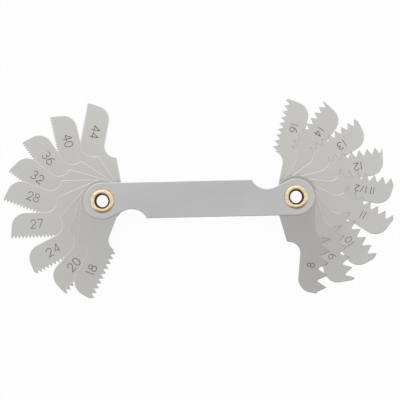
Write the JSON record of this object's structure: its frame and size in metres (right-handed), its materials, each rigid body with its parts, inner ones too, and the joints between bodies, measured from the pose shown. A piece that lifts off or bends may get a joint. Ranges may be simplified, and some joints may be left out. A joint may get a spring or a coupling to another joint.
{
  "type": "thread pitch gauge",
  "caption": "Flat steel handle of two plates with a fan of toothed thread gauge leaves pivoting on a brass eyelet at each end.",
  "frame": {"origin": "outer face of the back plate, midway between the two eyelet axes", "axes": "+X along the handle from the fine-pitch eyelet to the coarse-pitch eyelet, +Z through the stack from the back plate to the front plate"},
  "size_m": [0.1024, 0.0512, 0.0082],
  "materials": {
    "handle_steel": "satin, fine polished",
    "leaf_steel": "satin, fine polished",
    "eyelet_brass": "rolled, bright"
  },
  "bodies": {
    "root": {"back_plate": "handle_steel", "front_plate": "handle_steel", "left_eyelet": "eyelet_brass", "right_eyelet": "eyelet_brass"},
    "leaf_44_tpi": {"leaf_44_tpi": "leaf_steel"},
    "leaf_40_tpi": {"leaf_40_tpi": "leaf_steel"},
    "leaf_36_tpi": {"leaf_36_tpi": "leaf_steel"},
    "leaf_32_tpi": {"leaf_32_tpi": "leaf_steel"},
    "leaf_28_tpi": {"leaf_28_tpi": "leaf_steel"},
    "leaf_27_tpi": {"leaf_27_tpi": "leaf_steel"},
    "leaf_24_tpi": {"leaf_24_tpi": "leaf_steel"},
    "leaf_20_tpi": {"leaf_20_tpi": "leaf_steel"},
    "leaf_18_tpi": {"leaf_18_tpi": "leaf_steel"},
    "leaf_16_tpi": {"leaf_16_tpi": "leaf_steel"},
    "leaf_14_tpi": {"leaf_14_tpi": "leaf_steel"},
    "leaf_13_tpi": {"leaf_13_tpi": "leaf_steel"},
    "leaf_12_tpi": {"leaf_12_tpi": "leaf_steel"},
    "leaf_11_half_tpi": {"leaf_11_half_tpi": "leaf_steel"},
    "leaf_11_tpi": {"leaf_11_tpi": "leaf_steel"},
    "leaf_10_tpi": {"leaf_10_tpi": "leaf_steel"},
    "leaf_9_tpi": {"leaf_9_tpi": "leaf_steel"},
    "leaf_8_tpi": {"leaf_8_tpi": "leaf_steel"}
  },
  "joints": [
    {"name": "leaf_44_tpi_pivot", "type": "hinge", "parent": "root", "child": "leaf_44_tpi", "pos_m": [-0.0254, 0, 0.00108], "axis": [0, 0, 1], "range_deg": [-92.5, 237.5]},
    {"name": "leaf_40_tpi_pivot", "type": "hinge", "parent": "root", "child": "leaf_40_tpi", "pos_m": [-0.0254, 0, 0.00161], "axis": [0, 0, 1], "range_deg": [-116, 214]},
    {"name": "leaf_36_tpi_pivot", "type": "hinge", "parent": "root", "child": "leaf_36_tpi", "pos_m": [-0.0254, 0, 0.00214], "axis": [0, 0, 1], "range_deg": [-138, 192]},
    {"name": "leaf_32_tpi_pivot", "type": "hinge", "parent": "root", "child": "leaf_32_tpi", "pos_m": [-0.0254, 0, 0.00267], "axis": [0, 0, 1], "range_deg": [-156, 174]},
    {"name": "leaf_28_tpi_pivot", "type": "hinge", "parent": "root", "child": "leaf_28_tpi", "pos_m": [-0.0254, 0, 0.0032], "axis": [0, 0, 1], "range_deg": [-173, 157]},
    {"name": "leaf_27_tpi_pivot", "type": "hinge", "parent": "root", "child": "leaf_27_tpi", "pos_m": [-0.0254, 0, 0.00373], "axis": [0, 0, 1], "range_deg": [-195.5, 134.5]},
    {"name": "leaf_24_tpi_pivot", "type": "hinge", "parent": "root", "child": "leaf_24_tpi", "pos_m": [-0.0254, 0, 0.00426], "axis": [0, 0, 1], "range_deg": [-221, 109]},
    {"name": "leaf_20_tpi_pivot", "type": "hinge", "parent": "root", "child": "leaf_20_tpi", "pos_m": [-0.0254, 0, 0.00479], "axis": [0, 0, 1], "range_deg": [-242, 88]},
    {"name": "leaf_18_tpi_pivot", "type": "hinge", "parent": "root", "child": "leaf_18_tpi", "pos_m": [-0.0254, 0, 0.00532], "axis": [0, 0, 1], "range_deg": [-257.5, 72.5]},
    {"name": "leaf_16_tpi_pivot", "type": "hinge", "parent": "root", "child": "leaf_16_tpi", "pos_m": [0.0254, 0, 0.00108], "axis": [0, 0, 1], "range_deg": [-268, 62]},
    {"name": "leaf_14_tpi_pivot", "type": "hinge", "parent": "root", "child": "leaf_14_tpi", "pos_m": [0.0254, 0, 0.00161], "axis": [0, 0, 1], "range_deg": [-246.5, 83.5]},
    {"name": "leaf_13_tpi_pivot", "type": "hinge", "parent": "root", "child": "leaf_13_tpi", "pos_m": [0.0254, 0, 0.00214], "axis": [0, 0, 1], "range_deg": [-225, 105]},
    {"name": "leaf_12_tpi_pivot", "type": "hinge", "parent": "root", "child": "leaf_12_tpi", "pos_m": [0.0254, 0, 0.00267], "axis": [0, 0, 1], "range_deg": [-202.5, 127.5]},
    {"name": "leaf_11_half_tpi_pivot", "type": "hinge", "parent": "root", "child": "leaf_11_half_tpi", "pos_m": [0.0254, 0, 0.0032], "axis": [0, 0, 1], "range_deg": [-182.5, 147.5]},
    {"name": "leaf_11_tpi_pivot", "type": "hinge", "parent": "root", "child": "leaf_11_tpi", "pos_m": [0.0254, 0, 0.00373], "axis": [0, 0, 1], "range_deg": [-161, 169]},
    {"name": "leaf_10_tpi_pivot", "type": "hinge", "parent": "root", "child": "leaf_10_tpi", "pos_m": [0.0254, 0, 0.00426], "axis": [0, 0, 1], "range_deg": [-136.5, 193.5]},
    {"name": "leaf_9_tpi_pivot", "type": "hinge", "parent": "root", "child": "leaf_9_tpi", "pos_m": [0.0254, 0, 0.00479], "axis": [0, 0, 1], "range_deg": [-117.5, 212.5]},
    {"name": "leaf_8_tpi_pivot", "type": "hinge", "parent": "root", "child": "leaf_8_tpi", "pos_m": [0.0254, 0, 0.00532], "axis": [0, 0, 1], "range_deg": [-98.5, 231.5]}
  ]
}
